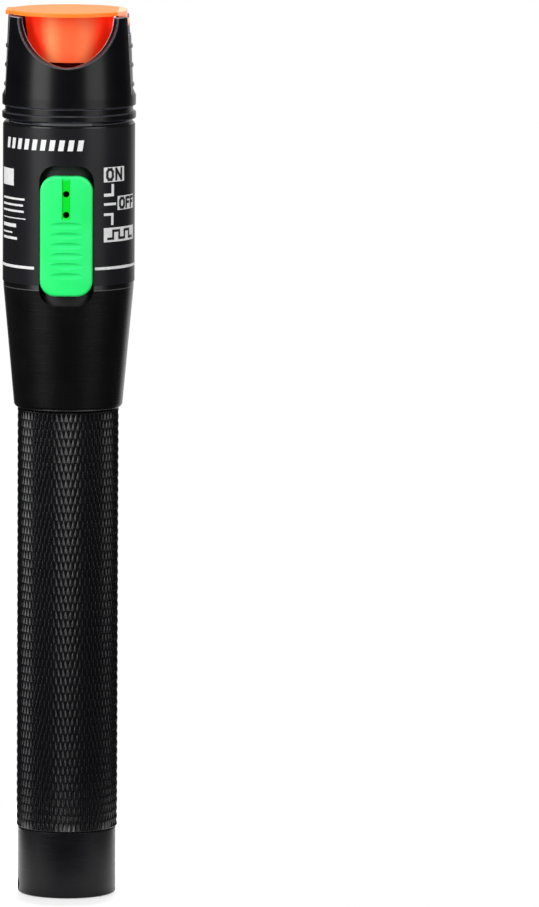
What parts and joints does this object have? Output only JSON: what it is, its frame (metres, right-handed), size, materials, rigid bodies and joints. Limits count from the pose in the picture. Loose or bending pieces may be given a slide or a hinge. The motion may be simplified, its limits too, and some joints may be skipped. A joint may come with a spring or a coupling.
{
  "type": "visual fault locator",
  "caption": "Pen-shaped fibre fault locator with a knurled battery tube, tapered shell, green slide switch, ferrule port and flip-up dust cap.",
  "frame": {"origin": "on the pen's axis at the flat end of the tail cap, where it stands", "axes": "+Z along the pen towards the nose and ferrule port; the slide switch faces -Y; the dust cap's hinge is on the +X side"},
  "size_m": [0.0262, 0.0266, 0.1742],
  "materials": {
    "black_anodised": "black anodised, satin",
    "label_film": "printed film, satin",
    "nose_plastic": "moulded, satin",
    "black_plastic": "moulded, matt",
    "green_plastic": "moulded, bright green",
    "cap_rubber": "translucent red-orange elastomer",
    "seal_rubber": "nitrile rubber",
    "cell_jacket": "printed jacket",
    "plated_steel": "nickel plated",
    "module_brass": "turned",
    "board_laminate": "green solder mask",
    "chip_ceramic": "fired body",
    "lens_glass": "polished",
    "sleeve_ceramic": "ground zirconia"
  },
  "bodies": {
    "pen": {"rear_cell": "cell_jacket", "front_cell": "cell_jacket", "battery_tube": "black_anodised", "tail_seal": "seal_rubber", "tube_seal": "seal_rubber", "front_shell": "black_anodised", "label_film": "label_film", "switch_case": "plated_steel", "switch_base": "board_laminate", "switch_pins": "plated_steel", "circuit_board": "board_laminate", "board_screws": "plated_steel", "driver_chip": "black_plastic", "chip_resistors": "chip_ceramic", "chip_capacitors": "chip_ceramic", "battery_contact": "plated_steel", "ground_spring": "plated_steel", "inner_chassis": "black_plastic", "laser_barrel": "module_brass", "laser_diode": "plated_steel", "collimating_lens": "lens_glass", "lens_ring": "module_brass", "port_body": "plated_steel", "ferrule_sleeve": "sleeve_ceramic", "port_nut": "plated_steel", "nose_collar": "nose_plastic", "nose_housing": "nose_plastic", "hinge_pin": "plated_steel"},
    "slider": {"slide_knob": "green_plastic", "knob_carrier": "black_plastic", "switch_lever": "black_plastic"},
    "flip_cap": {"dust_cap": "cap_rubber"},
    "spring": {"tail_spring": "plated_steel"},
    "tail": {"tail_cap": "black_anodised"}
  },
  "joints": [
    {"name": "cap_flip", "type": "hinge", "parent": "pen", "child": "flip_cap", "pos_m": [0.0107, 0, 0.1716], "axis": [0, 1, 0], "range_deg": [0, 135]},
    {"name": "switch_slide", "type": "slide", "parent": "pen", "child": "slider", "axis": [0, 0, 1], "range_m": [-0.0019, 0.0019]},
    {"name": "tail_travel", "type": "slide", "parent": "pen", "child": "spring", "axis": [0, 0, -1], "range_m": [0, 0.0075]},
    {"name": "tail_turn", "type": "hinge", "parent": "spring", "child": "tail", "pos_m": [0, 0, 0], "axis": [0, 0, -1], "range_deg": [0, 2700]}
  ],
  "couplings": [
    {"joint": "tail_turn", "follows": "tail_travel", "rad_per_m": 6283.2}
  ]
}
